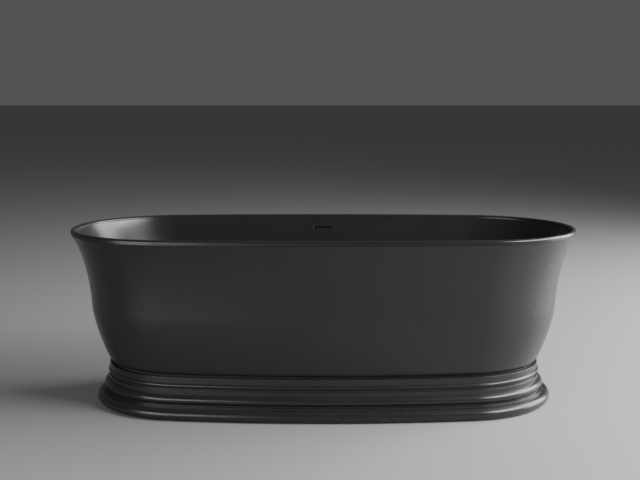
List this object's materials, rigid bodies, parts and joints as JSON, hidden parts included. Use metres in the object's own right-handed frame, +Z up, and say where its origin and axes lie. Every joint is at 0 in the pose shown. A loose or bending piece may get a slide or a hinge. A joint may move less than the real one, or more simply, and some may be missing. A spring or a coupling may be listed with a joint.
{
  "type": "freestanding bathtub",
  "caption": "Long oval freestanding bath with a rolled rim, waisted double-skinned body and moulded plinth, with pop-up waste, slot overflow and levelling feet.",
  "frame": {"origin": "middle of the footprint, on the floor", "axes": "+X along the bath, +Y towards the overflow side, +Z up"},
  "size_m": [1.7, 0.75, 0.58],
  "materials": {
    "matt_black_shell": "satin",
    "bonding_paste": "matt",
    "black_rubber": "matt",
    "zinc_steel": "satin",
    "board": "matt",
    "white_plastic": "satin",
    "black_plastic": "satin",
    "black_metal": "satin",
    "brass_insert": "satin",
    "bright_steel": "polished",
    "grey_hose": "matt"
  },
  "bodies": {
    "bath": {"basin_shell": "matt_black_shell", "outer_skin": "matt_black_shell", "plinth": "matt_black_shell", "rim_bond": "bonding_paste", "gap_seal": "black_rubber", "flange_bolts": "zinc_steel", "flange_nuts": "zinc_steel", "channel_left": "zinc_steel", "channel_right": "zinc_steel", "channel_centre": "zinc_steel", "board_screws": "zinc_steel", "channel_nuts": "zinc_steel", "tie_straps": "zinc_steel", "strap_screws": "zinc_steel", "overflow_screws": "zinc_steel", "base_board": "board", "strap_packers": "white_plastic", "waste_flange": "black_metal", "waste_top_seal": "black_rubber", "waste_lower_seal": "black_rubber", "overflow_gasket": "black_rubber", "trap_washer": "black_rubber", "trap_cap_washer": "black_rubber", "trap_outlet_seal": "black_rubber", "click_cartridge": "brass_insert", "click_spring": "bright_steel", "waste_body": "white_plastic", "hose_nut_upper": "white_plastic", "hose_nut_lower": "white_plastic", "trap_union_nut": "white_plastic", "trap_body": "white_plastic", "trap_access_cap": "white_plastic", "trap_outlet_nut": "white_plastic", "overflow_hose": "grey_hose", "overflow_duct": "black_plastic"},
    "foot_front_left": {"foot_rod_front_left": "zinc_steel", "foot_pad_front_left": "black_rubber"},
    "foot_rear_left": {"foot_rod_rear_left": "zinc_steel", "foot_pad_rear_left": "black_rubber"},
    "foot_front_right": {"foot_rod_front_right": "zinc_steel", "foot_pad_front_right": "black_rubber"},
    "foot_rear_right": {"foot_rod_rear_right": "zinc_steel", "foot_pad_rear_right": "black_rubber"},
    "foot_centre": {"foot_rod_centre": "zinc_steel", "foot_pad_centre": "black_rubber"},
    "plug": {"plug_cap": "black_metal", "plug_seal": "black_rubber", "plug_stem": "bright_steel"}
  },
  "joints": [
    {"name": "level_front_left", "type": "slide", "parent": "bath", "child": "foot_front_left", "axis": [0, 0, 1], "range_m": [0, 0.012]},
    {"name": "level_rear_left", "type": "slide", "parent": "bath", "child": "foot_rear_left", "axis": [0, 0, 1], "range_m": [0, 0.012]},
    {"name": "level_front_right", "type": "slide", "parent": "bath", "child": "foot_front_right", "axis": [0, 0, 1], "range_m": [0, 0.012]},
    {"name": "level_rear_right", "type": "slide", "parent": "bath", "child": "foot_rear_right", "axis": [0, 0, 1], "range_m": [0, 0.012]},
    {"name": "level_centre", "type": "slide", "parent": "bath", "child": "foot_centre", "axis": [0, 0, 1], "range_m": [0, 0.012]},
    {"name": "plug_lift", "type": "slide", "parent": "bath", "child": "plug", "axis": [0, 0, 1], "range_m": [-0.009, 0], "stiffness_N_per_m": 400, "springref_m": 0.008, "deforming": ["click_spring"]}
  ]
}
